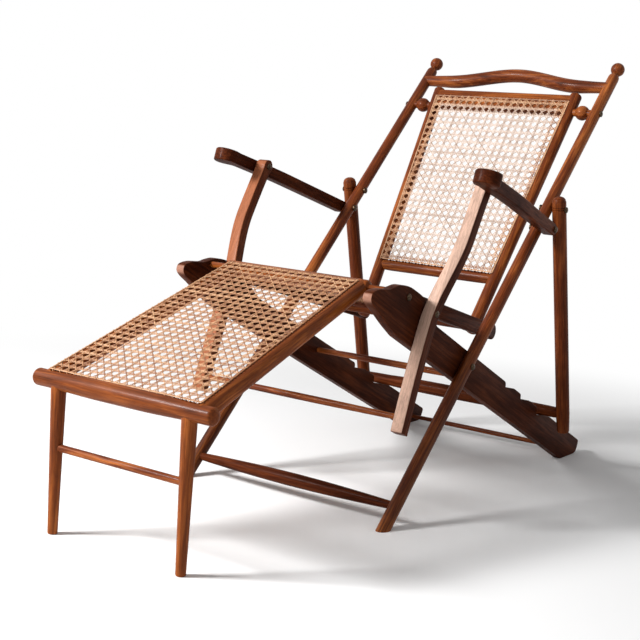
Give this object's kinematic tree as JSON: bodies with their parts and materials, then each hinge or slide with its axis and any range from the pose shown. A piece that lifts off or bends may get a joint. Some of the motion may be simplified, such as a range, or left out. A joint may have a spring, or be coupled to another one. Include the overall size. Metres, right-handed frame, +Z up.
{
  "type": "folding deck chair",
  "caption": "Folding wooden deck chair with a caned back, seat and leg rest, flat arms, ball-topped poles and a notched reclining prop.",
  "frame": {"origin": "on the floor, under the middle of the overall length and width with the chair opened as in the picture", "axes": "+Z up; -Y the way the sitter faces, towards the leg rest; +Y towards the back; +X to the sitter's left"},
  "size_m": [0.7028, 1.3968, 0.9425],
  "materials": {
    "wood": "red-brown stain under satin varnish, worn",
    "dark_wood": "dark red-brown stain under satin varnish, worn",
    "pale_cane": "woven natural cane, pale straw",
    "tan_cane": "woven natural cane, tan",
    "bolt": "dark aged metal"
  },
  "bodies": {
    "side_frame": {"side_plank_left": "dark_wood", "side_plank_right": "dark_wood", "plank_stretcher_middle": "wood", "plank_stretcher_rear": "wood", "pole_pivot_bolt_left": "bolt", "pole_pivot_bolt_right": "bolt", "support_pivot_bolt_left": "bolt", "support_pivot_bolt_right": "bolt"},
    "back_poles": {"back_pole_left": "wood", "back_pole_right": "wood", "spacer_bead_left": "wood", "spacer_bead_right": "wood", "top_rail": "wood", "front_stretcher": "dark_wood", "back_pivot_bolt_left": "bolt", "back_pivot_bolt_right": "bolt", "arm_pivot_bolt_left": "bolt", "arm_pivot_bolt_right": "bolt", "prop_pivot_bolt_left": "bolt", "prop_pivot_bolt_right": "bolt"},
    "rear_prop": {"prop_post_left": "wood", "prop_post_right": "wood", "prop_rail": "dark_wood"},
    "back_panel": {"back_stile_left": "wood", "back_stile_right": "wood", "back_rail_top": "wood", "back_rail_bottom": "wood", "back_cane": "pale_cane"},
    "seat_panel": {"seat_bar_left": "dark_wood", "seat_bar_right": "dark_wood", "seat_rail_front": "wood", "seat_rail_rear": "wood", "seat_cane": "tan_cane", "knee_pin_left": "bolt", "knee_pin_right": "bolt", "seat_pivot_bolt_left": "bolt", "seat_pivot_bolt_right": "bolt"},
    "arm_supports": {"arm_support_left": "wood", "arm_support_right": "wood", "support_stretcher": "wood", "arm_screw_left": "bolt", "arm_screw_right": "bolt"},
    "leg_rest": {"leg_rest_side_rail_left": "wood", "leg_rest_side_rail_right": "wood", "leg_left": "wood", "leg_right": "wood", "leg_rest_front_rail": "wood", "leg_rest_rear_rail": "wood", "leg_stretcher": "wood", "leg_rest_cane": "tan_cane"},
    "arm_left": {"arm_left": "dark_wood"},
    "arm_right": {"arm_right": "dark_wood"}
  },
  "joints": [
    {"name": "back_fold", "type": "hinge", "parent": "side_frame", "child": "back_poles", "pos_m": [0, 0.05773, 0.28507], "axis": [1, 0, 0], "range_deg": [-40, 0]},
    {"name": "prop_swing", "type": "hinge", "parent": "back_poles", "child": "rear_prop", "pos_m": [0, 0.36456, 0.60281], "axis": [1, 0, 0], "range_deg": [0, 86]},
    {"name": "back_panel_tilt", "type": "hinge", "parent": "back_poles", "child": "back_panel", "pos_m": [0, 0.57296, 0.81861], "axis": [1, 0, 0], "range_deg": [-6, 0]},
    {"name": "seat_tilt", "type": "hinge", "parent": "side_frame", "child": "seat_panel", "pos_m": [0, -0.17063, 0.4375], "axis": [1, 0, 0], "range_deg": [-13, 0]},
    {"name": "arm_support_swing", "type": "hinge", "parent": "side_frame", "child": "arm_supports", "pos_m": [0, -0.10743, 0.40496], "axis": [1, 0, 0], "range_deg": [-49, 0]},
    {"name": "arm_left_swing", "type": "hinge", "parent": "back_poles", "child": "arm_left", "pos_m": [0.286, 0.32434, 0.56116], "axis": [1, 0, 0], "range_deg": [0, 28]},
    {"name": "arm_right_swing", "type": "hinge", "parent": "back_poles", "child": "arm_right", "pos_m": [-0.286, 0.32434, 0.56116], "axis": [1, 0, 0], "range_deg": [0, 28]},
    {"name": "leg_rest_lift", "type": "hinge", "parent": "side_frame", "child": "leg_rest", "pos_m": [0, -0.21315, 0.45028], "axis": [1, 0, 0], "range_deg": [-150, 0]}
  ],
  "couplings": [
    {"joint": "prop_swing", "follows": "back_fold", "ratio": -2.14},
    {"joint": "back_panel_tilt", "follows": "back_fold", "ratio": 0.1463},
    {"joint": "seat_tilt", "follows": "back_fold", "ratio": 0.3109},
    {"joint": "arm_support_swing", "follows": "back_fold", "ratio": 1.2092},
    {"joint": "arm_left_swing", "follows": "back_fold", "ratio": -0.6885},
    {"joint": "arm_right_swing", "follows": "back_fold", "ratio": -0.6885}
  ]
}
